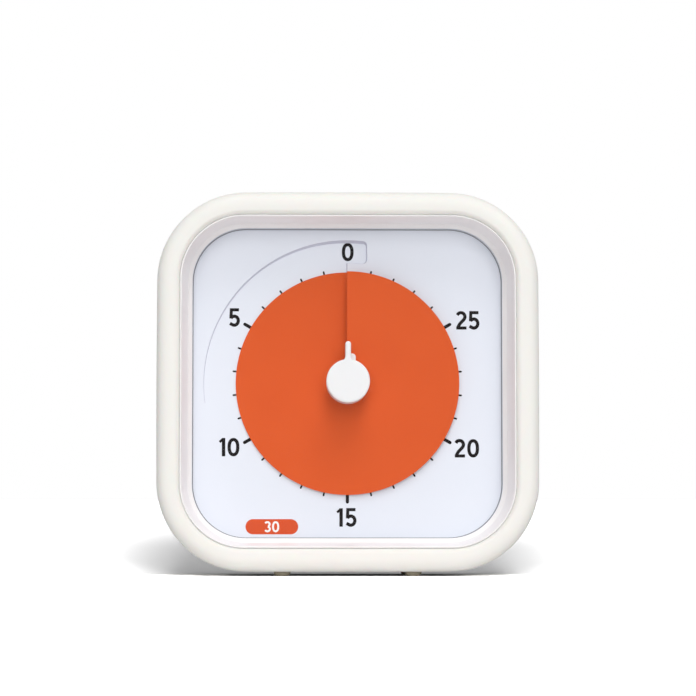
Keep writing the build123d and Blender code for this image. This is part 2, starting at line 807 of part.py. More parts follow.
def make_board():
    body = bar(0, board_centre_y, board_width, board_height, board_back, board_front, 1.5)
    for x, y in board_screw_places():
        body -= rod(x, y, small_screw_radius + 0.2, board_back, board_front)
    return body


def make_board_parts():
    """Timer chip under its blob, a crystal can, a capacitor and two resistors."""
    across = 3 * chip_blob_radius
    blob = Pos(0, board_centre_y, board_front - chip_blob_sunk) * Sphere(chip_blob_radius)
    blob &= bar(0, board_centre_y, across, across, board_front, board_front + chip_blob_radius)
    lying = Plane(origin=(crystal_x, crystal_y, board_front + crystal_radius), z_dir=(0, 1, 0))
    can = extrude(lying * Circle(crystal_radius), amount=crystal_length)
    capacitor = rod(capacitor_x, capacitor_y, capacitor_radius, board_front,
                    board_front + capacitor_height)
    capacitor = chamfer(capacitor.edges().group_by(Axis.Z)[-1], 0.3)
    chips = [bar(x, resistor_y, resistor_length, resistor_width, board_front,
                 board_front + resistor_height) for x in (left_resistor_x, right_resistor_x)]
    return Compound([blob.solids()[0], can, capacitor] + chips)


def make_board_screws():
    screw = make_small_screw(small_head_radius, small_head_height, small_screw_radius,
                             board_screw_length)
    turned = Rot(180, 0, 0) * screw
    return Compound([Pos(x, y, board_front) * turned for x, y in board_screw_places()])


def make_buzzer():
    low = wall_inside + 0.6
    body = chamfer(rod(buzzer_x, buzzer_y, buzzer_radius, low, board_back)
                   .edges().group_by(Axis.Z)[0], 0.6)
    return body - rod(buzzer_x, buzzer_y, 1.5, low, low + 2.0)


def make_switch_body():
    top = wall_inside + 1.6
    body = bar(slider_x, slider_y, switch_length, switch_width, top, board_back)
    return body - bar(slider_x, slider_y, slider_travel + 2.6, 1.8, top, top + 1.6)


def make_slider():
    """Ribbed cap, its flange behind the wall and the fork into the switch; at its ON end."""
    x = slider_x - slider_travel / 2
    body = bar(x, slider_y, slider_length, slider_width, back + 0.2, wall_inside + 0.4, 0.6)
    for i in (-1, 0, 1):
        body -= bar(x + 1.3 * i, slider_y, 0.5, slider_width, back + 0.2, back + 0.5)
    body += bar(x, slider_y, slider_length + 2.4, slider_width + 2.0, wall_inside + 0.3,
                wall_inside + 1.1)
    body += bar(x, slider_y, 2.0, 1.2, wall_inside + 1.1, wall_inside + 2.8)
    return body


def make_all():
    third_wheel, second_wheel, motor_rotor = make_train()
    return {
        "silicone_sleeve": make_sleeve(),
        "sleeve_feet": make_feet(),
        "front_case": make_front_case(),
        "lens": make_lens(),
        "dial_plate": make_dial_plate(),
        "timer_disk": make_disk(),
        "disk_hub": make_hub(),
        "setting_knob": make_knob(),
        "output_arbor": make_arbor(),
        "friction_spring": make_friction_spring(),
        "center_wheel": make_center_wheel(),
        "third_wheel": third_wheel,
        "second_wheel": second_wheel,
        "motor_rotor": motor_rotor,
        "motor_stator": make_stator(),
        "motor_coil": make_coil(),
        "movement_front_plate": make_movement_front(),
        "movement_rear_shell": make_movement_rear(),
        "movement_screws": make_movement_screws(),
        "rear_case": make_rear_case(),
        "case_screws": make_case_screws(),
        "circuit_board": make_board(),
        "board_parts": make_board_parts(),
        "board_screws": make_board_screws(),
        "buzzer": make_buzzer(),
        "switch_body": make_switch_body(),
        "alert_slider": make_slider(),
        "battery_cell": make_cell(),
        "battery_contact_positive": make_positive_contact(),
        "battery_contact_negative": make_negative_contact(),
        "battery_door": make_door(),
        "door_screw": make_door_screw(),
    }


os.makedirs("parts", exist_ok=True)
for node, solid in make_all().items():
    export_step(face_frame.location * solid, f"parts/{node}.step")
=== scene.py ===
from math import atan2, copysign, cos, degrees, hypot, pi, radians, sin

import bpy
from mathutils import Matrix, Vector


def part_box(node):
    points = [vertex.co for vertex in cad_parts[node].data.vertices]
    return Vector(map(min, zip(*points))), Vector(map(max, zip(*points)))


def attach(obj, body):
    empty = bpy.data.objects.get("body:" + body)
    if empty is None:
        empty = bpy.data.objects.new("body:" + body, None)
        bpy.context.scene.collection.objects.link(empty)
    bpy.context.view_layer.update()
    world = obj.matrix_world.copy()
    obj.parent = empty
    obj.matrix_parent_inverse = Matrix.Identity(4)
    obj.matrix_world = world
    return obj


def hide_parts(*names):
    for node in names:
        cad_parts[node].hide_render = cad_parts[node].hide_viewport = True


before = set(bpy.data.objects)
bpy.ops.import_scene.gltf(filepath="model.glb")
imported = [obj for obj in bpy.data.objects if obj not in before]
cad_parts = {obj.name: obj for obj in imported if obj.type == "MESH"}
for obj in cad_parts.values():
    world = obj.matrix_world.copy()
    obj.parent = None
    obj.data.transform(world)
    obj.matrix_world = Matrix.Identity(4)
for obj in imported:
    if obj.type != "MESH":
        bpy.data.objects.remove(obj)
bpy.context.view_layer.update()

# Visual countdown timer. Pieces are drawn in millimetres in the face frame: x to the right,
# y up and height towards the viewer, from the centre of the dial's front face.
mm = 0.001
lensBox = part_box("lens")
# Centre of the dial's front face in the part's frame, in mm.
dialCentre = (0.0, -12.0, (lensBox[0].z + lensBox[1].z) / 2 / mm)


def inPart(x, y, height):
    # From the face frame in mm to the part's frame in metres.
    return Vector((dialCentre[0] + x, dialCentre[1] - height, dialCentre[2] + y)) * mm


class Wire:                             # a node's output that Python's operators work on
    def __init__(self, nodes, socket):
        self.nodes, self.socket = nodes, socket

    def maths(self, operation, other=0.0, turned=False):
        first, second = (other, self) if turned else (self, other)
        return self.nodes.add("Math", {"operation": operation}, {0: first, 1: second})

    def __add__(self, other):
        return self.maths("ADD", other)

    def __sub__(self, other):
        return self.maths("SUBTRACT", other)

    def __rsub__(self, other):
        return self.maths("SUBTRACT", other, True)

    def __mul__(self, other):
        return self.maths("MULTIPLY", other)

    def __pow__(self, other):
        return self.maths("POWER", other)

    __radd__, __rmul__ = __add__, __mul__


class Nodes:                            # the node tree of a material or a world
    def __init__(self, owner):
        owner.use_nodes = True
        self.tree = owner.node_tree
        self.tree.nodes.clear()

    def add(self, kind, settings=None, inputs=None, output=0):
        node = self.tree.nodes.new("ShaderNode" + kind)
        for key, value in (settings or {}).items():
            setattr(node, key, value)
        for key, value in (inputs or {}).items():
            if isinstance(value, Wire):
                self.tree.links.new(value.socket, node.inputs[key])
            else:
                node.inputs[key].default_value = value
        return Wire(self, node.outputs[output]) if node.outputs else None


class Finish(Nodes):                    # one material
    def __init__(self, name):
        self.material = bpy.data.materials.new(name)
        super().__init__(self.material)
        self.place = self.add("TexCoord", output="Object")

    def noise(self, size, detail=2.0, roughness=0.5):       # size of a blotch in mm
        return self.add("TexNoise", {}, {"Vector": self.place, "Scale": 1 / (size * mm),
                                         "Detail": detail, "Roughness": roughness}, "Fac")

    def tint(self, share, low, high):                       # colour between low and high
        start = low if isinstance(low, Wire) else (*low, 1.0)
        return self.add("Mix", {"data_type": "RGBA"}, {0: share, 6: start, 7: (*high, 1.0)}, 2)

    def bump(self, height, depth, strength=1.0):            # depth in mm
        return self.add("Bump", {}, {"Height": height, "Distance": depth * mm,
                                     "Strength": strength}, "Normal")

    def axis(self, name):                                   # place along x, y or z, in mm
        return self.add("SeparateXYZ", {}, {0: self.place}, name) * (1 / mm)

    def between(self, wire, low, high):                     # 0 below low, 1 above high
        return self.add("MapRange", {"interpolation_type": "SMOOTHSTEP"},
                        {0: wire, 1: low, 2: high, 3: 0.0, 4: 1.0})

    def done(self, **inputs):
        shader = self.add("BsdfPrincipled", {}, {key.replace("_", " "): value
                                                 for key, value in inputs.items()})
        self.add("OutputMaterial", {}, {"Surface": shader})
        return self.material


def moulded(name, look):
    # Moulded plastic or rubber: slow change of shade, uneven gloss and a fine skin. Blotch,
    # grain and the skin's depth are in mm.
    finish = Finish(name)
    blotch = finish.noise(look["blotch"], detail=3.0)
    grain = finish.noise(look["grain"], roughness=0.6)
    dark = [c * (1 - look["shade"]) for c in look["colour"]]
    light = [min(1.0, c * (1 + look["shade"])) for c in look["colour"]]
    return finish.done(Base_Color=finish.tint(blotch, dark, light),
                       Roughness=look["rough"] + (grain - 0.5) * look["uneven"],
                       Normal=finish.bump(grain, look["depth"], strength=0.6),
                       **look.get("plain", {}))


# The moulded and printed finishes. What stands under plain goes to the shader as it is.
looks = {
    "siliconeCover": {"colour": (0.888, 0.876, 0.835), "shade": 0.006, "blotch": 14.0,
                      "grain": 0.16, "rough": 0.56, "uneven": 0.12, "depth": 0.012,
                      "plain": {"Subsurface_Weight": 0.12, "Subsurface_Scale": 0.0015,
                                "Sheen_Weight": 0.08, "Sheen_Roughness": 0.5}},
    "creamRubber": {"colour": (0.67, 0.6, 0.45), "shade": 0.03, "blotch": 2.0, "grain": 0.12,
                    "rough": 0.62, "uneven": 0.12, "depth": 0.012},
    "whiteCase": {"colour": (0.965, 0.955, 0.957), "shade": 0.008, "blotch": 11.0, "grain": 0.2,
                  "rough": 0.3, "uneven": 0.1, "depth": 0.004},
    "whiteCaseBack": {"colour": (0.86, 0.86, 0.87), "shade": 0.01, "blotch": 11.0,
                      "grain": 0.34, "rough": 0.5, "uneven": 0.14, "depth": 0.03},
    "dialFace": {"colour": (0.775, 0.81, 0.885), "shade": 0.006, "blotch": 16.0, "grain": 0.1,
                 "rough": 0.46, "uneven": 0.08, "depth": 0.002,
                 "plain": {"Specular_IOR_Level": 0.25}},
    # Painted shade: a darker dial tone for the foot along the ramp pocket's wall and the slit's
    # step.
    "rampEdgePaintedShade": {"colour": (0.6, 0.61, 0.72), "shade": 0.01, "blotch": 9.0, "grain": 0.1,
                 "rough": 0.5, "uneven": 0.08, "depth": 0.002,
                 "plain": {"Specular_IOR_Level": 0.2}},
    # Painted shade: dark grey for the thin ring where the dial meets the case.
    "dialEdgePaintedShade": {"colour": (0.27, 0.28, 0.31), "shade": 0.03, "blotch": 5.0, "grain": 0.1,
                "rough": 0.6, "uneven": 0.1, "depth": 0.003,
                "plain": {"Specular_IOR_Level": 0.2}},
    "dialInk": {"colour": (0.013, 0.011, 0.012), "shade": 0.12, "blotch": 1.2, "grain": 0.06,
                "rough": 0.42, "uneven": 0.16, "depth": 0.003,
                "plain": {"Specular_IOR_Level": 0.1}},
    "badgeInk": {"colour": (0.655, 0.09, 0.03), "shade": 0.02, "blotch": 1.5, "grain": 0.06,
                 "rough": 0.44, "uneven": 0.12, "depth": 0.003,
                 "plain": {"Specular_IOR_Level": 0.15}},
    "badgeWhite": {"colour": (0.92, 0.9, 0.88), "shade": 0.01, "blotch": 1.5, "grain": 0.06,
                   "rough": 0.44, "uneven": 0.1, "depth": 0.003},
    "knobWhite": {"colour": (0.865, 0.87, 0.88), "shade": 0.006, "blotch": 5.0, "grain": 0.12,
                  "rough": 0.24, "uneven": 0.06, "depth": 0.0015,
                  "plain": {"Subsurface_Weight": 0.08, "Subsurface_Scale": 0.001}},
    "gearAcetal": {"colour": (0.82, 0.79, 0.7), "shade": 0.02, "blotch": 3.0, "grain": 0.1,
                   "rough": 0.34, "uneven": 0.1, "depth": 0.004},
    "movementBlack": {"colour": (0.022, 0.022, 0.024), "shade": 0.12, "blotch": 6.0,
                      "grain": 0.25, "rough": 0.48, "uneven": 0.18, "depth": 0.015},
    "sliderGrey": {"colour": (0.25, 0.255, 0.27), "shade": 0.03, "blotch": 2.0, "grain": 0.14,
                   "rough": 0.42, "uneven": 0.12, "depth": 0.01},
}
finishes = {name: moulded(name, look) for name, look in looks.items()}


def makeDiskFinish():
    # Thin orange sheet: faint rings from the tool that cut it, under a satin skin.
    disk = {"dark": (0.665, 0.095, 0.022), "light": (0.72, 0.112, 0.027), "blotch": 9.0,
            "grain": 0.18, "grainShare": 0.15, "ring": 0.55, "ringShare": 0.3,
            "rough": 0.4, "uneven": 0.12, "specular": 0.15, "depth": 0.0012}
    finish = Finish("orangeDisk")
    across = finish.axis("X")
    upward = finish.axis("Z") - dialCentre[2]
    radius = (across * across + upward * upward) ** 0.5
    rings = (radius * (2 * pi / disk["ring"])).maths("SINE")
    grain = finish.noise(disk["grain"], roughness=0.6)
    share = (finish.noise(disk["blotch"], detail=3.0) * (1 - disk["grainShare"])
             + grain * disk["grainShare"])
    return finish.done(Base_Color=finish.tint(share, disk["dark"], disk["light"]),
                       Roughness=disk["rough"] + (grain - 0.5) * disk["uneven"],
                       Specular_IOR_Level=disk["specular"],
                       Normal=finish.bump(rings * disk["ringShare"] + grain, disk["depth"],
                                          strength=0.5))


def makeMetal(name, colour, rough, brushed=(40.0, 1.0, 40.0)):
    # Drawn or plated metal: gloss and height streaked along the axis that is stretched least.
    metal = {"streak": 120.0, "cloud": 1.6, "dark": 0.9, "uneven": 0.16, "depth": 0.002}
    finish = Finish(name)
    stretched = finish.add("Mapping", {}, {"Vector": finish.place, "Scale": brushed})
    streak = finish.add("TexNoise", {}, {"Vector": stretched, "Scale": metal["streak"],
                                         "Detail": 3.0}, "Fac")
    dark = [c * metal["dark"] for c in colour]
    return finish.done(Base_Color=finish.tint(finish.noise(metal["cloud"]), dark, colour),
                       Metallic=1.0, Roughness=rough + (streak - 0.5) * metal["uneven"],
                       Normal=finish.bump(streak, metal["depth"], strength=0.4))


def makeWinding():
    # Enamelled wire laid side by side along the bobbin.
    coil = {"pitch": 0.16, "waver": 0.06, "waverSize": 0.5, "dark": (0.32, 0.1, 0.035),
            "light": (0.62, 0.25, 0.1), "rough": 0.42, "polish": 0.15, "depth": 0.05}
    finish = Finish("copperWinding")
    along = finish.axis("Z") + finish.noise(coil["waverSize"]) * coil["waver"]
    ridge = (along * (2 * pi / coil["pitch"])).maths("SINE") * 0.5 + 0.5
    return finish.done(Base_Color=finish.tint(ridge, coil["dark"], coil["light"]), Metallic=0.9,
                       Roughness=coil["rough"] - ridge * coil["polish"],
                       Normal=finish.bump(ridge, coil["depth"], strength=0.8))


def makeBoard():
    # Green lacquer over fibreglass weave, with copper areas showing as a lighter green.
    board = {"dark": (0.012, 0.085, 0.035), "light": (0.03, 0.17, 0.07), "weave": 0.5,
             "weaveShare": 0.3, "copper": 4.5, "copperEdge": (0.34, 0.36), "blotch": 0.8,
             "rough": 0.3, "uneven": 0.12, "depth": 0.01}
    finish = Finish("boardGreen")
    threads = [(finish.axis(name) * (2 * pi / board["weave"])).maths("SINE") for name in "XZ"]
    weave = threads[0] * threads[1]
    copper = finish.add("TexVoronoi", {"distance": "MANHATTAN"},
                        {"Vector": finish.place, "Scale": 1 / (board["copper"] * mm)},
                        "Distance")
    pour = finish.between(copper, *board["copperEdge"])
    return finish.done(Base_Color=finish.tint(pour, board["light"], board["dark"]),
                       Roughness=board["rough"] + finish.noise(board["blotch"]) * board["uneven"],
                       Normal=finish.bump(weave * board["weaveShare"] + pour, board["depth"],
                                          strength=0.6))


def makeCellFinish():
    # Printed sleeve with one band by the positive end, and bare nickel at both ends.
    cell = {"wrap": (0.02, 0.022, 0.025), "band": (0.62, 0.42, 0.12),
            "nickel": (0.7, 0.69, 0.66), "bandEnd": 13.4, "bandFade": 0.2, "button": 1.62,
            "base": 0.28, "fade": 0.04, "scuff": 0.9, "rough": 0.24, "uneven": 0.14,
            "depth": 0.004}
    low, high = (corner.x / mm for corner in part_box("battery_cell"))
    finish = Finish("cellWrap")
    along = finish.axis("X")
    bandEnd, button, base = high - cell["bandEnd"], high - cell["button"], low + cell["base"]
    band = finish.between(along, bandEnd, bandEnd + cell["bandFade"])
    bare = (finish.between(along, button, button + cell["fade"])
            + (1 - finish.between(along, base, base + cell["fade"])))
    wrap = finish.tint(band, cell["wrap"], cell["band"])
    scuff = finish.noise(cell["scuff"], detail=4.0)
    return finish.done(Base_Color=finish.tint(bare, wrap, cell["nickel"]), Metallic=bare,
                       Roughness=cell["rough"] + scuff * cell["uneven"],
                       Normal=finish.bump(scuff, cell["depth"], strength=0.4))


def makeClear():
    # Clear acrylic: only the mirror of its two faces shows, stronger at a low angle.
    clear = {"tone": (0.97, 0.985, 1.0, 1.0), "gloss": 0.045, "smear": 6.0, "wiped": 0.03,
             "least": 0.002, "edge": 0.6, "rise": 3.0}
    finish = Finish("clearLens")
    slant = finish.add("LayerWeight", {}, {"Blend": 0.5}, "Facing")
    wipe = finish.noise(clear["smear"], detail=4.0)
    return finish.done(Base_Color=clear["tone"], Metallic=1.0,
                       Roughness=clear["gloss"] + wipe * clear["wiped"],
                       Alpha=clear["least"] + slant ** clear["rise"] * clear["edge"])


finishes["orangeDisk"] = makeDiskFinish()
finishes["brightSteel"] = makeMetal("brightSteel", (0.62, 0.61, 0.6), 0.3)
finishes["springSteel"] = makeMetal("springSteel", (0.68, 0.67, 0.64), 0.24, (1.0, 40.0, 40.0))
finishes["laminatedIron"] = makeMetal("laminatedIron", (0.42, 0.42, 0.43), 0.38)
finishes["copperWinding"] = makeWinding()
finishes["boardGreen"] = makeBoard()
finishes["cellWrap"] = makeCellFinish()
finishes["clearLens"] = makeClear()

nodeFinishes = {
    "sleeve_feet": "creamRubber", "dial_plate": "dialFace", "timer_disk": "orangeDisk",
    "disk_hub": "knobWhite", "setting_knob": "knobWhite", "output_arbor": "brightSteel",
    "friction_spring": "springSteel", "center_wheel": "gearAcetal", "third_wheel": "gearAcetal",
    "second_wheel": "gearAcetal", "motor_rotor": "gearAcetal", "motor_stator": "laminatedIron",
    "motor_coil": "copperWinding", "movement_front_plate": "movementBlack",
    "movement_rear_shell": "movementBlack", "movement_screws": "brightSteel",
    "rear_case": "whiteCaseBack", "case_screws": "brightSteel", "circuit_board": "boardGreen",
    "board_parts": "movementBlack", "board_screws": "brightSteel", "buzzer": "movementBlack",
    "switch_body": "laminatedIron", "alert_slider": "sliderGrey", "battery_cell": "cellWrap",
    "battery_contact_positive": "springSteel", "battery_door": "whiteCaseBack",
    "door_screw": "brightSteel",
}
for node, finishName in nodeFinishes.items():
    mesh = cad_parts[node].data
    mesh.materials.clear()
    mesh.materials.append(finishes[finishName])
print("finishes:", len(finishes), "on", len(nodeFinishes), "packed nodes")


def makePiece(name, points, faces, finishName, body, sharpAbove=32.0):
    mesh = bpy.data.meshes.new(name)
    mesh.from_pydata([inPart(*point) for point in points], [], faces)
    mesh.polygons.foreach_set("use_smooth", [True] * len(mesh.polygons))
    mesh.set_sharp_from_angle(angle=radians(sharpAbove))
    mesh.materials.append(finishes[finishName])
    piece = bpy.data.objects.new(name, mesh)
    bpy.context.scene.collection.objects.link(piece)
    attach(piece, body)
    return piece


def roundedRing(halfWidth, halfHeight, corner, height, swell=0.0, cornerSteps=22, sideSteps=8):
    # Rounded rectangle, anticlockwise from the right side's lower end.
    ring = []
    for side in range(4):
        turn = side * pi / 2
        longHalf, wideHalf = (halfHeight, halfWidth) if side % 2 == 0 else (halfWidth, halfHeight)
        local = [(wideHalf, (longHalf - corner) * (2 * i / sideSteps - 1))
                 for i in range(sideSteps)]
        for i in range(cornerSteps):
            angle = pi / 2 * i / cornerSteps
            local.append((wideHalf - corner + corner * cos(angle),
                          longHalf - corner + corner * sin(angle)))
        for x, y in local:
            ring.append((x * cos(turn) - y * sin(turn), x * sin(turn) + y * cos(turn)))
    if swell:
        ring = [(x * (1 - swell * (y / halfHeight) ** 2 / halfWidth),
                 y * (1 - swell * (x / halfWidth) ** 2 / halfHeight)) for x, y in ring]
    return [(x, y, height) for x, y in ring]


def joinRings(rings, closed=True):
    # Quads between neighbouring rings, and from the last back to the first if closed.
    count = len(rings[0])
    points = [point for ring in rings for point in ring]
    faces = []
    for i in range(len(rings) if closed else len(rings) - 1):
        low, high = i * count, (i + 1) % len(rings) * count
        for j in range(count):
            k = (j + 1) % count
            faces.append((low + j, low + k, high + k, high + j))
    return points, faces


def ovalArc(centre, radii, start, end, steps=16):
    # Points of an arc as (across, up), with angles in degrees from the across axis.
    turns = [radians(start + (end - start) * i / steps) for i in range(steps + 1)]
    return [(centre[0] + radii[0] * cos(turn), centre[1] + radii[1] * sin(turn))
            for turn in turns]


def arcPoints(centre, radius, start, end, steps):
    return ovalArc(centre, (radius, radius), start, end, steps)


# Outline of the whole block and of the window, which most rings are drawn from.
block = {"halfWidth": 45.7, "halfHeight": 45.4, "corner": 21.0, "swell": 0.3}
windowShape = {"half": 37.4, "corner": 13.0}


def blockRing(inset, height, swell=0.0):
    return roundedRing(block["halfWidth"] - inset, block["halfHeight"] - inset,
                       block["corner"] - inset, height, swell)


def windowRing(offset, height):
    half = windowShape["half"] + offset
    return roundedRing(half, half, windowShape["corner"] + offset, height)


def makeCover():
    # One thick soft ring that hooks over the front rim.
    cover = {"back": -30.0, "rim": 11.0, "wall": 2.5, "frontRound": 3.2, "lipWidth": 5.6,
             "lipThickness": 2.4, "lipRound": 1.4, "lipEdge": 0.25, "fillet": 0.6,
             "backRound": 0.5, "backEdge": 0.3, "outerLevels": (-24.0, -16.0, -8.0, 0.0),
             "innerLevels": (0.0, -15.0)}
    back, rim, wall, swell = cover["back"], cover["rim"], cover["wall"], block["swell"]
    under = rim - cover["lipThickness"]
    lipStart = cover["lipWidth"] - cover["lipRound"]
    radius = cover["backRound"]
    outer = arcPoints((radius, back + radius), radius, 270, 180, steps=4)
    outer += [(0.0, height) for height in cover["outerLevels"]]
    radius = cover["frontRound"]
    outer += arcPoints((radius, rim - radius), radius, 180, 90, steps=12)
    radius = cover["lipRound"]
    lip = arcPoints((lipStart, rim - radius), radius, 90, 0, steps=8)
    radius = cover["lipEdge"]
    lip += arcPoints((cover["lipWidth"] - radius, under + radius), radius, 0, -90, steps=3)
    radius = cover["fillet"]
    inner = arcPoints((wall + radius, under - radius), radius, 90, 180, steps=4)
    inner += [(wall, height) for height in cover["innerLevels"]]
    radius = cover["backEdge"]
    inner += arcPoints((wall - radius, back + radius), radius, 0, -90, steps=3)
    rings = [blockRing(inset, height, swell) for inset, height in outer]
    rings += [blockRing(inset, height, swell * (1 - (inset - lipStart) / cover["lipRound"]))
              for inset, height in lip]                     # the swell fades out over the lip
    rings += [blockRing(inset, height) for inset, height in inner]
    points, faces = joinRings(rings)
    piece = makePiece("silicone_cover", points, faces, "siliconeCover", "sleeve",
                      sharpAbove=50.0)
    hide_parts("silicone_sleeve")


makeCover()
print("silicone cover made")


def makeCaseFront():
    # Hard front: bead, flared slope and the ledge that the lens lies on.
    case = {"outside": 2.6, "inside": 4.6, "parting": -8.0, "shoulder": 8.5,
            "shoulderRound": 0.5, "shoulderEase": 0.15, "bead": 10.4, "beadInset": 5.8,
            "beadWidth": 0.2, "edge": 0.09, "step": 0.16, "stepTop": 0.4, "stepLean": 0.3,
            "chamfer": (0.55, 1.3), "seat": 3.48, "seatEase": 0.06, "ledge": 1.0, "fall": 0.65,
            "under": 2.5, "ease": 0.04, "fallEase": 0.05, "hollow": 0.8, "hollowFall": 0.1}
    outside, shoulder = case["outside"], case["shoulder"]
    bead, top = case["beadInset"], case["bead"]
    edge, ease, step = case["edge"], case["ease"], case["step"]
    line = [(outside, case["parting"]), (outside, shoulder - case["shoulderRound"]),
            (outside + case["shoulderEase"], shoulder - case["shoulderEase"]),
            (outside + case["shoulderRound"], shoulder), (bead - step, shoulder),
            (bead - step, top - case["stepTop"]),
            (bead - step * case["stepLean"], top - case["stepLean"])]
    line += arcPoints((bead + edge, top - edge), edge, 180, 90, steps=4)
    line += arcPoints((bead + case["beadWidth"] - edge, top - edge), edge, 90, 10, steps=4)
    across, down = case["chamfer"]
    line.append((bead + case["beadWidth"] + across, top - edge - down))
    rings = [blockRing(inset, height) for inset, height in line]
    ledge, seat, under = case["ledge"], case["seat"], case["under"]
    lowest = seat - case["fall"]
    line = [(ledge + ease, seat + case["seatEase"]), (ledge, seat),
            (case["fallEase"], lowest + ease), (0.0, lowest - ease), (0.0, under + ease),
            (ease, under), (case["hollow"], under - case["hollowFall"]), (case["hollow"], 0.0)]
    rings += [windowRing(offset, height) for offset, height in line]
    rings += [blockRing(case["inside"], 0.0), blockRing(case["inside"], case["parting"])]
    points, faces = joinRings(rings)
    piece = makePiece("case_front", points, faces, "whiteCase", "case",
                      sharpAbove=28.0)
    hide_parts("front_case")


makeCaseFront()
print("case front made")


def makeWindow():
    # Flat clear window with a polished edge and the knob's hole.
    lens = {"low": 3.51, "high": 4.7, "offset": 0.9, "hole": 5.6, "edge": 0.15}
    low, high, offset = lens["low"], lens["high"], lens["offset"]
    hole, edge = lens["hole"], lens["edge"]

    def holeRing(radius, height):
        outer = windowRing(0.0, height)
        return [(x * radius / hypot(x, y), y * radius / hypot(x, y), height) for x, y, _ in outer]

    rings = [holeRing(hole + edge, high), holeRing(hole, high - edge), holeRing(hole, low + edge),
             holeRing(hole + edge, low), windowRing(offset - edge, low),
             windowRing(offset, low + edge), windowRing(offset, high - edge),
             windowRing(offset - edge, high)]
    points, faces = joinRings(rings)
    faces = [face[::-1] for face in faces]
    piece = makePiece("lens_window", points, faces, "clearLens", "case",
                      sharpAbove=20.0)
    piece.visible_diffuse = piece.visible_shadow = False
    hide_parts("lens")


makeWindow()
print("lens made")


# Pocket that spirals down to the dial's slit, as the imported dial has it.
ramp = {"depth": 0.86, "pitch": 3.0, "radius": 34.8, "notchInner": 29.2, "notchWidth": 4.8}
# How far ink stands on the dial, how deep it is rooted, and what a second stroke adds.
ink = {"lift": 0.03, "root": 0.02, "over": 0.002}


def dialHeight(x, y):
    # Height of the dial's surface, down in the ramp pocket and its notch.
    radius = hypot(x, y)
    turn = (degrees(atan2(y, x)) - 90.0) % 360.0
    if radius < ramp["radius"]:
        if turn < 360.0 * ramp["depth"] / ramp["pitch"]:
            return -ramp["depth"] + ramp["pitch"] * turn / 360.0
        if 0.0 < x < ramp["notchWidth"] and y > 0 and radius > ramp["notchInner"]:
            return -ramp["depth"]
    return 0.0


def stroke(path, width, closed=False):
    # Left and right edges of a ribbon along a path, with mitred corners.
    leastMitre = 0.4
    left, right = [], []
    count = len(path)
    for i, (x, y) in enumerate(path):
        before = path[i - 1] if i or closed else path[i]
        after = path[(i + 1) % count] if i < count - 1 or closed else path[i]
        first = Vector((x - before[0], y - before[1]))
        second = Vector((after[0] - x, after[1] - y))
        first = first if first.length else second
        second = second if second.length else first
        along = (first.normalized() + second.normalized()).normalized()
        half = width / 2 / max(leastMitre, along.dot(first.normalized()))
        left.append((x - along.y * half, y + along.x * half))
        right.append((x + along.y * half, y - along.x * half))
    return left, right


def addRibbon(points, faces, edges, place, closed, lift, flat=None):
    # Thin raised ribbon of ink between its two edges, lying on the dial.
    left, right = edges
    count = len(left)
    start = len(points)
    for a, b in zip(left, right):
        for (x, y), rise in ((a, lift), (b, lift), (b, -ink["root"]), (a, -ink["root"])):
            x, y = x + place[0], y + place[1]
            points.append((x, y, (dialHeight(x, y) if flat is None else flat) + rise))
    for i in range(count if closed else count - 1):
        low, high = start + 4 * i, start + 4 * ((i + 1) % count)
        for j in range(4):
            k = (j + 1) % 4
            faces.append((low + j, high + j, high + k, low + k))
    if not closed:
        last = start + 4 * (count - 1)
        faces.append((start, start + 1, start + 2, start + 3))
        faces.append((last + 3, last + 2, last + 1, last))


def smoothLine(knots, steps=6):
    # Catmull-Rom line through the knots.
    line = []
    padded = [knots[0]] + knots + [knots[-1]]
    for i in range(len(knots) - 1):
        a, b, c, d = (Vector(padded[i + j]) for j in range(4))
        for j in range(steps):
            t = j / steps
            line.append(tuple((2 * b + (c - a) * t + (2 * a - 5 * b + 4 * c - d) * t * t
                               + (3 * b - a - 3 * c + d) * t ** 3) / 2))
    return line + [tuple(knots[-1])]


numerals = {
    "height": 4.43, "stroke": 0.79, "ovalSteps": 48, "ovalPower": 0.88,
    "width": {"0": 2.86, "1": 1.46, "2": 2.52, "3": 2.5, "5": 2.69},
    "gap": {"10": 0.55, "15": 0.68, "20": 0.52, "25": 0.51, "30": 0.55},
    "places": {"0": (0.1, 32.0), "5": (-27.3, 15.95), "10": (-28.5, -15.45),
               "15": (-0.15, -32.4), "20": (28.9, -15.7), "25": (29.25, 15.33)},
}


def digitStrokes(digit, width):
    # Centre lines of one digit, from its lower left corner: (path, closed, stroke's width).
    if digit == "0":
        halves = (numerals["width"]["0"] / 2, numerals["height"] / 2)
        steps, power = numerals["ovalSteps"], numerals["ovalPower"]
        turns = [2 * pi * i / steps for i in range(steps)]
        loop = [tuple(half + (half - width / 2) * copysign(abs(part) ** power, part)
                      for half, part in zip(halves, (cos(turn), sin(turn)))) for turn in turns]
        return [(loop, True, width)]
    if digit == "1":
        return [([(1.05, 0.0), (1.05, 4.42)], False, 0.82),
                ([(0.09, 3.42), (0.9, 4.18)], False, 0.58)]
    if digit == "2":
        curve = smoothLine([(0.28, 3.5), (0.62, 3.93), (1.16, 4.09), (1.76, 3.88), (2.12, 3.22),
                            (1.93, 2.52), (1.34, 1.88), (0.78, 1.22), (0.46, 0.55), (0.4, 0.3)])
        return [(curve, False, width), ([(0.02, 0.37), (2.5, 0.37)], False, 0.74)]
    if digit == "3":
        top = ovalArc((1.16, 3.22), (0.92, 0.82), 155, -70)
        low = ovalArc((1.16, 1.3), (1.0, 0.92), 82, -152)
        return [(top, False, width), (low, False, width)]
    bowl = ovalArc((1.26, 1.455), (0.966, 1.095), 148, -118, 22) + [(0.2, 0.8)]
    flag = [(2.38, 4.11), (0.53, 4.11), (0.44, 2.0)]
    return [(flag, False, width * 0.95), (bowl, False, width)]


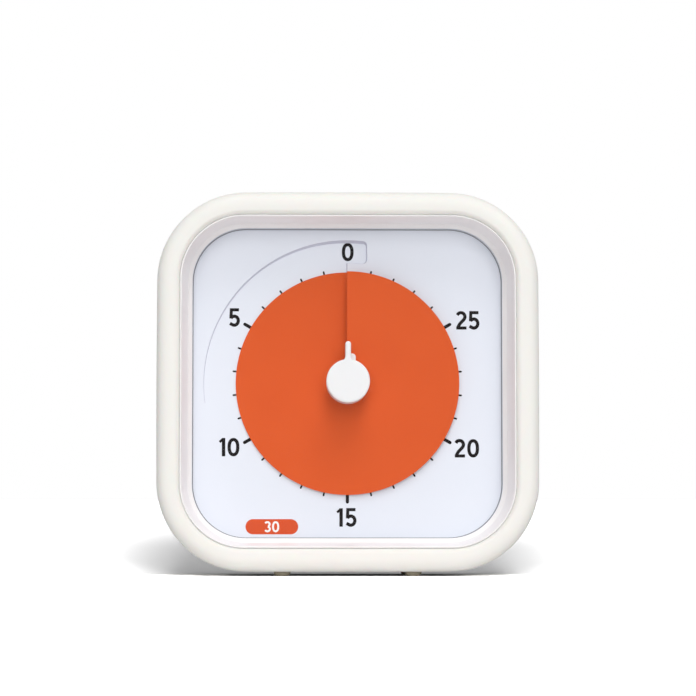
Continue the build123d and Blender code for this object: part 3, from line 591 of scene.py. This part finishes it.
def addNumber(points, faces, text, place, scale, lift, flat=None):
    # A whole number, centred on its place.
    widths = [numerals["width"][digit] for digit in text]
    x = -(sum(widths) + numerals["gap"].get(text, 0.0) * (len(text) - 1)) / 2
    for digit, digitWidth in zip(text, widths):
        for i, (path, closed, width) in enumerate(digitStrokes(digit, numerals["stroke"])):
            moved = [((x + px) * scale, (py - numerals["height"] / 2) * scale) for px, py in path]
            addRibbon(points, faces, stroke(moved, width * scale, closed), place, closed,
                      lift + ink["over"] * i, flat)
        x += digitWidth + numerals["gap"].get(text, 0.0)


def makeDialMarks():
    # Minute ticks with rounded outer ends, and the numerals.
    ticks = {"count": 30, "inner": 26.9, "minor": 27.9, "major": 29.05, "minorWidth": 0.43,
             "majorWidth": 0.78, "every": 5, "endSteps": 5, "blunt": 0.015}
    points, faces = [], []
    for minute in range(1, ticks["count"]):
        kind = "major" if minute % ticks["every"] == 0 else "minor"
        half, outer = ticks[kind + "Width"] / 2, ticks[kind]
        angle = radians(90.0 + 360.0 * minute / ticks["count"])
        along = Vector((cos(angle), sin(angle)))
        side = Vector((-along.y, along.x))
        line = [(ticks["inner"], half), (outer - half, half)]
        for i in range(1, ticks["endSteps"] + 1):
            turn = pi / 2 * i / ticks["endSteps"]
            line.append((outer - half + half * sin(turn),
                         half * (ticks["blunt"] + (1 - ticks["blunt"]) * cos(turn))))
        left = [tuple(along * far + side * wide) for far, wide in line]
        right = [tuple(along * far - side * wide) for far, wide in line]
        addRibbon(points, faces, (left, right), (0, 0), False, ink["lift"])
    for text, place in numerals["places"].items():
        addNumber(points, faces, text, place, 1.0, ink["lift"])
    makePiece("dial_marks", points, faces, "dialInk", "case", sharpAbove=30.0)


def makeBadge():
    # Pill at the dial's lower left with the full time on it.
    badge = {"centre": (-18.2, -34.63), "length": 12.7, "height": 3.66, "steps": 32,
             "blunt": 0.0001, "lift": 0.02, "numberScale": 0.6, "numberLift": 0.035}
    half = badge["height"] / 2
    straight = badge["length"] / 2 - half
    upper, lower = [], []
    for i in range(badge["steps"] + 1):
        angle = pi * (1 - i / badge["steps"])
        x = copysign(straight, cos(angle)) + half * cos(angle)
        y = half * sin(angle) + badge["blunt"]
        upper.append((x, y))
        lower.append((x, -y))
    points, faces = [], []
    addRibbon(points, faces, (upper, lower), badge["centre"], False, badge["lift"], 0.0)
    makePiece("minute_badge", points, faces, "badgeInk", "case", sharpAbove=30.0)
    points, faces = [], []
    addNumber(points, faces, "30", badge["centre"], badge["numberScale"], badge["numberLift"], 0.0)
    makePiece("badge_number", points, faces, "badgeWhite", "case", sharpAbove=30.0)


def makeRampEdge():
    # Drafted foot of the wall round the ramp pocket and its notch, and of the step at the slit, in
    # a darker tone that is painted shade along these edges.
    # Each station on a path is (x, y, inward x, inward y, width of the foot).
    edge = {"step": 0.2, "stepStart": 0.925, "stepCount": 4, "foot": 0.14, "footCount": 5,
            "side": 0.28, "top": 0.66, "least": 0.12, "corner": 1.2, "cornerTurn": 80.0,
            "cornerCount": 8, "arcStart": 84.0, "arcEnd": 98.0, "arcCount": 60, "thinning": 0.75,
            "proud": 0.006, "lift": 0.01, "root": 0.03, "probe": 0.05, "stepProbe": 0.07}
    inner, outer, corner = ramp["notchInner"], ramp["radius"], edge["corner"]
    middle = ramp["notchWidth"] - corner
    lowY = ((inner + corner) ** 2 - middle ** 2) ** 0.5
    highY = ((outer - corner) ** 2 - middle ** 2) ** 0.5
    shares = [i / edge["stepCount"] for i in range(edge["stepCount"] + 1)]
    step = [(0.0, inner * (edge["stepStart"] + (1 - edge["stepStart"]) * share), -1.0, 0.0,
             edge["step"]) for share in shares]
    line = []
    for i in range(edge["footCount"] + 1):                  # foot of the notch
        x = middle * inner / (inner + corner) * i / edge["footCount"]
        y = (inner ** 2 - x ** 2) ** 0.5
        line.append((x, y, x / inner, y / inner, edge["foot"]))
    for centreY, start, low, high in ((lowY, -edge["cornerTurn"], edge["foot"], edge["side"]),
                                      (highY, 0.0, edge["side"], edge["top"])):
        for i in range(edge["cornerCount"] + 1):            # its two corners
            share = i / edge["cornerCount"]
            turn = radians(start + edge["cornerTurn"] * share)
            line.append((middle + corner * cos(turn), centreY + corner * sin(turn),
                         -cos(turn), -sin(turn), low + (high - low) * share))
    end = edge["arcEnd"]
    first = degrees(atan2(highY + corner * sin(radians(edge["arcStart"])), middle)) - 90.0
    for i in range(edge["arcCount"] + 1):                   # the long arc
        turn = first + (end - first) * i / edge["arcCount"]
        share = min(1.0, max(0.0, turn / end)) ** edge["thinning"]
        angle = radians(turn + 90.0)
        line.append((outer * cos(angle), outer * sin(angle), -cos(angle), -sin(angle),
                     edge["top"] + (edge["least"] - edge["top"]) * share))
    points, faces = [], []
    for path, probe in ((step, edge["stepProbe"]), (line, edge["probe"])):
        start, last = len(points), len(points) + 3 * (len(path) - 1)
        for x, y, inX, inY, wide in path:
            foot, root = dialHeight(x + inX * probe, y + inY * probe), edge["root"]
            points += [(x, y, edge["proud"]),
                       (x + inX * wide, y + inY * wide, foot + edge["lift"]),
                       (x - inX * root, y - inY * root, foot - root)]
        for low in range(start, last, 3):
            for j in range(3):
                k = (j + 1) % 3
                faces.append((low + j, low + 3 + j, low + 3 + k, low + k))
        faces += [(start, start + 1, start + 2), (last + 2, last + 1, last)]
    # Finished in the darker edge tone, which is painted shade.
    makePiece("ramp_edge", points, faces, "rampEdgePaintedShade", "case", sharpAbove=40.0)


def makeDialEdgeShade():
    # Thin dark grey bead round the dial, against the case: painted shade, standing for the dark
    # shaded line where the dial meets the case.
    rim = {"inner": -0.17, "outer": 0.05, "height": 0.05, "root": -0.02, "bevel": 0.6}
    line = [(rim["inner"], rim["root"]), (rim["inner"], rim["height"] * rim["bevel"]),
            (rim["inner"] * rim["bevel"], rim["height"]), (rim["outer"], rim["height"]),
            (rim["outer"], rim["root"])]
    points, faces = joinRings([windowRing(offset, height) for offset, height in line])
    faces = [face[::-1] for face in faces]
    makePiece("dial_edge_shade", points, faces, "dialEdgePaintedShade", "case", sharpAbove=40.0)


def makeDiskLip():
    # Folded lip along the disk's upper end, which covers the slit from in front.
    lip = {"left": -0.16, "right": 0.05, "inner": 4.3, "short": 0.02, "thick": 0.2,
           "round": 0.04, "proud": 0.006}
    low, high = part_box("timer_disk")
    reaches = (lip["inner"], (high.z - low.z) / 2 / mm - lip["short"])
    top = dialCentre[1] - low.y / mm + lip["proud"]
    bottom = top - lip["thick"]
    left, right, bevel = lip["left"], lip["right"], lip["round"]
    outline = [(right, top), (left + bevel, top), (left, top - bevel), (left, bottom + bevel),
               (left + bevel, bottom), (right, bottom)]
    points = [(x, reach, height) for reach in reaches for x, height in outline]
    count = len(outline)
    faces = [(i, (i + 1) % count, (i + 1) % count + count, i + count) for i in range(count)]
    faces += [tuple(range(count))[::-1], tuple(range(count, 2 * count))]
    makePiece("disk_lip", points, faces, "orangeDisk", "disk", sharpAbove=40.0)


makeDialMarks()
makeBadge()
makeRampEdge()
makeDialEdgeShade()
makeDiskLip()
print("dial print made")


def makeCoilContact():
    # Negative contact: a plate and a wound wire spring.
    coil = {"wire": 0.33, "turns": 3.5, "large": 3.6, "small": 2.7, "perTurn": 40, "section": 12,
            "touch": 0.95, "riseStart": 0.14, "rise": 0.72, "plate": 0.4, "plateEdge": 0.08,
            "plateCorner": 0.6}
    low, high = (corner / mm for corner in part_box("battery_contact_negative"))
    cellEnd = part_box("battery_cell")[0].x / mm
    middleY = (low.z + high.z) / 2 - dialCentre[2]
    middleH = dialCentre[1] - (low.y + high.y) / 2
    halfY, halfH = (high.z - low.z) / 2, (high.y - low.y) / 2
    front, edge = low.x + coil["plate"], coil["plateEdge"]
    rings = []
    for x, inset in ((low.x, edge), (low.x + edge, 0.0), (front - edge, 0.0), (front, edge)):
        ring = roundedRing(halfY - inset, halfH - inset, coil["plateCorner"] - inset, 0.0,
                           cornerSteps=5, sideSteps=1)
        rings.append([(x, middleY + a, middleH + b) for a, b, _ in ring])
    points, faces = joinRings(rings, closed=False)
    count = len(rings[0])
    faces += [tuple(range(count))[::-1], tuple(range(3 * count, 4 * count))]
    start, section = len(points), coil["section"]
    steps = int(coil["turns"] * coil["perTurn"])
    first, last = front + coil["wire"], cellEnd - coil["wire"] * coil["touch"]
    for i in range(steps + 1):
        share = i / steps
        turn = 2 * pi * coil["turns"] * share
        rise = min(1.0, max(0.0, (share - coil["riseStart"]) / coil["rise"]))
        along = first + (last - first) * rise
        radius = coil["large"] + (coil["small"] - coil["large"]) * share
        for j in range(section):
            around = 2 * pi * j / section
            reach = radius + coil["wire"] * cos(around)
            points.append((along + coil["wire"] * sin(around), middleY + reach * cos(turn),
                           middleH + reach * sin(turn)))
    for i in range(steps):
        a, b = start + i * section, start + (i + 1) * section
        for j in range(section):
            k = (j + 1) % section
            faces.append((a + j, b + j, b + k, a + k))
    end = start + steps * section
    faces.append(tuple(range(start, start + section)))
    faces.append(tuple(range(end, end + section))[::-1])
    piece = makePiece("coil_contact", points, faces, "springSteel", "case",
                      sharpAbove=40.0)
    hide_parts("battery_contact_negative")


makeCoilContact()
print("battery contact made")


def makeFloorFinish():
    # Plain paper to every ray but the camera's, which sees it whiter away from the timer: painted
    # light, which fades the timer's shadow out round it.
    paper = {"colour": 0.9, "seenNear": 1.02, "seenAway": 3.8, "front": (-18.0, 26.0),
             "flank": 35.0, "flankLean": 0.9, "side": (38.0, 75.0), "sideFade": 0.25,
             "back": (55.0, 105.0), "backFade": 0.4}
    finish = Finish("paleFloor")
    outward, depth = finish.axis("X").maths("ABSOLUTE"), finish.axis("Y")
    flank = (outward - paper["flank"]).maths("MAXIMUM") * paper["flankLean"]
    # Painted light: share of the dimmer camera shade, high close behind and beside the timer and
    # falling off away from it.
    near = (finish.between(depth - flank, *paper["front"])
            * (1 - finish.between(outward, *paper["side"]) * paper["sideFade"])
            * (1 - finish.between(depth, *paper["back"]) * paper["backFade"]))
    plain, away, close = (finish.add("BsdfDiffuse", {}, {"Color": (paper[key],) * 3 + (1.0,)})
                          for key in ("colour", "seenAway", "seenNear"))
    seen = finish.add("MixShader", {}, {0: near, 1: away, 2: close})
    rays = finish.add("LightPath", output="Is Camera Ray")
    both = finish.add("MixShader", {}, {0: rays, 1: plain, 2: seen})
    finish.add("OutputMaterial", {}, {"Surface": both})
    return finish.material


def makeFloor():
    # Level where the timer stands, then a gentle rise behind it up to a low crest. In metres.
    floor = {"half": 4.0, "start": 0.024, "bend": 0.03, "bendSteps": 8, "slope": 12.0,
             "crest": 0.02}
    half, bend, slope = floor["half"], floor["bend"], radians(floor["slope"])
    turns = [slope * i / floor["bendSteps"] for i in range(floor["bendSteps"] + 1)]
    line = [(-half, 0.0)]
    line += [(floor["start"] + bend * sin(turn), bend * (1 - cos(turn))) for turn in turns]
    y, z = line[-1]
    rise = floor["crest"] - 2 * z
    y, z = y + rise / sin(slope) * cos(slope), z + rise
    line.append((y, z))
    line += [(y + bend * (sin(slope) - sin(turn)), z + bend * (cos(turn) - cos(slope)))
             for turn in turns[-2::-1]]
    line.append((half, line[-1][1]))
    points = [(x, y, z) for x in (-half, half) for y, z in line]
    count = len(line)
    mesh = bpy.data.meshes.new("floor")
    mesh.from_pydata(points, [], [(i, count + i, count + i + 1, i + 1) for i in range(count - 1)])
    mesh.polygons.foreach_set("use_smooth", [True] * len(mesh.polygons))
    mesh.materials.append(makeFloorFinish())
    piece = bpy.data.objects.new("floor", mesh)
    bpy.context.scene.collection.objects.link(piece)


def makeLight():
    # Soft lamps, each as (level on what faces it, angular size, direction towards it), and a
    # little even light from all round.
    light = {"key": (0.28, 30.0, (0.08, -0.5, 0.85)), "low": (0.11, 20.0, (0.08, -0.8, 0.55)),
             "front": (0.59, 50.0, (0.03, -1.0, 0.12)), "top": (0.23, 70.0, (0.1, -0.2, 1.0)),
             "back": (0.72, 12.0, (-0.2, 1.0, 0.05)), "fill": 0.04}
    for name in ("key", "low", "front", "top", "back"):
        level, size, toward = light[name]
        lamp = bpy.data.lights.new(name, "SUN")
        lamp.energy, lamp.angle = level * pi, radians(size)
        holder = bpy.data.objects.new(name, lamp)
        holder.rotation_euler = Vector(toward).to_track_quat("Z", "Y").to_euler()
        holder.visible_glossy = False
        bpy.context.scene.collection.objects.link(holder)
    world = bpy.data.worlds.new("studio")
    sky = Nodes(world)
    rays = [sky.add("LightPath", output=f"Is {kind} Ray")
            for kind in ("Camera", "Glossy", "Transmission")]
    seen = rays[0].maths("MAXIMUM", rays[1]).maths("MAXIMUM", rays[2])
    white = sky.add("Background", {}, {"Color": (1.0, 1.0, 1.0, 1.0),
                                       "Strength": seen * (1 - light["fill"]) + light["fill"]})
    sky.add("OutputWorld", {}, {"Surface": white})
    bpy.context.scene.world = world


def makeCamera():
    # Long lens from low in front, with a small shift that frames the timer.
    view = {"place": (-0.0125, -0.623, 0.0095), "sensor": 36.0, "lens": 130.9,
            "shift": (0.0009, 0.0508), "nearest": 0.01}
    data = bpy.data.cameras.new("camera")
    data.sensor_width, data.lens, data.clip_start = view["sensor"], view["lens"], view["nearest"]
    data.shift_x, data.shift_y = view["shift"]
    camera = bpy.data.objects.new("camera", data)
    camera.location = view["place"]
    aim = inPart(0, 0, 0) - camera.location
    camera.rotation_euler = aim.to_track_quat("-Z", "Y").to_euler()
    bpy.context.scene.collection.objects.link(camera)
    bpy.context.scene.camera = camera


makeFloor()
makeLight()
makeCamera()
bpy.context.scene.view_settings.view_transform = "Standard"
print("stage, light and camera set")
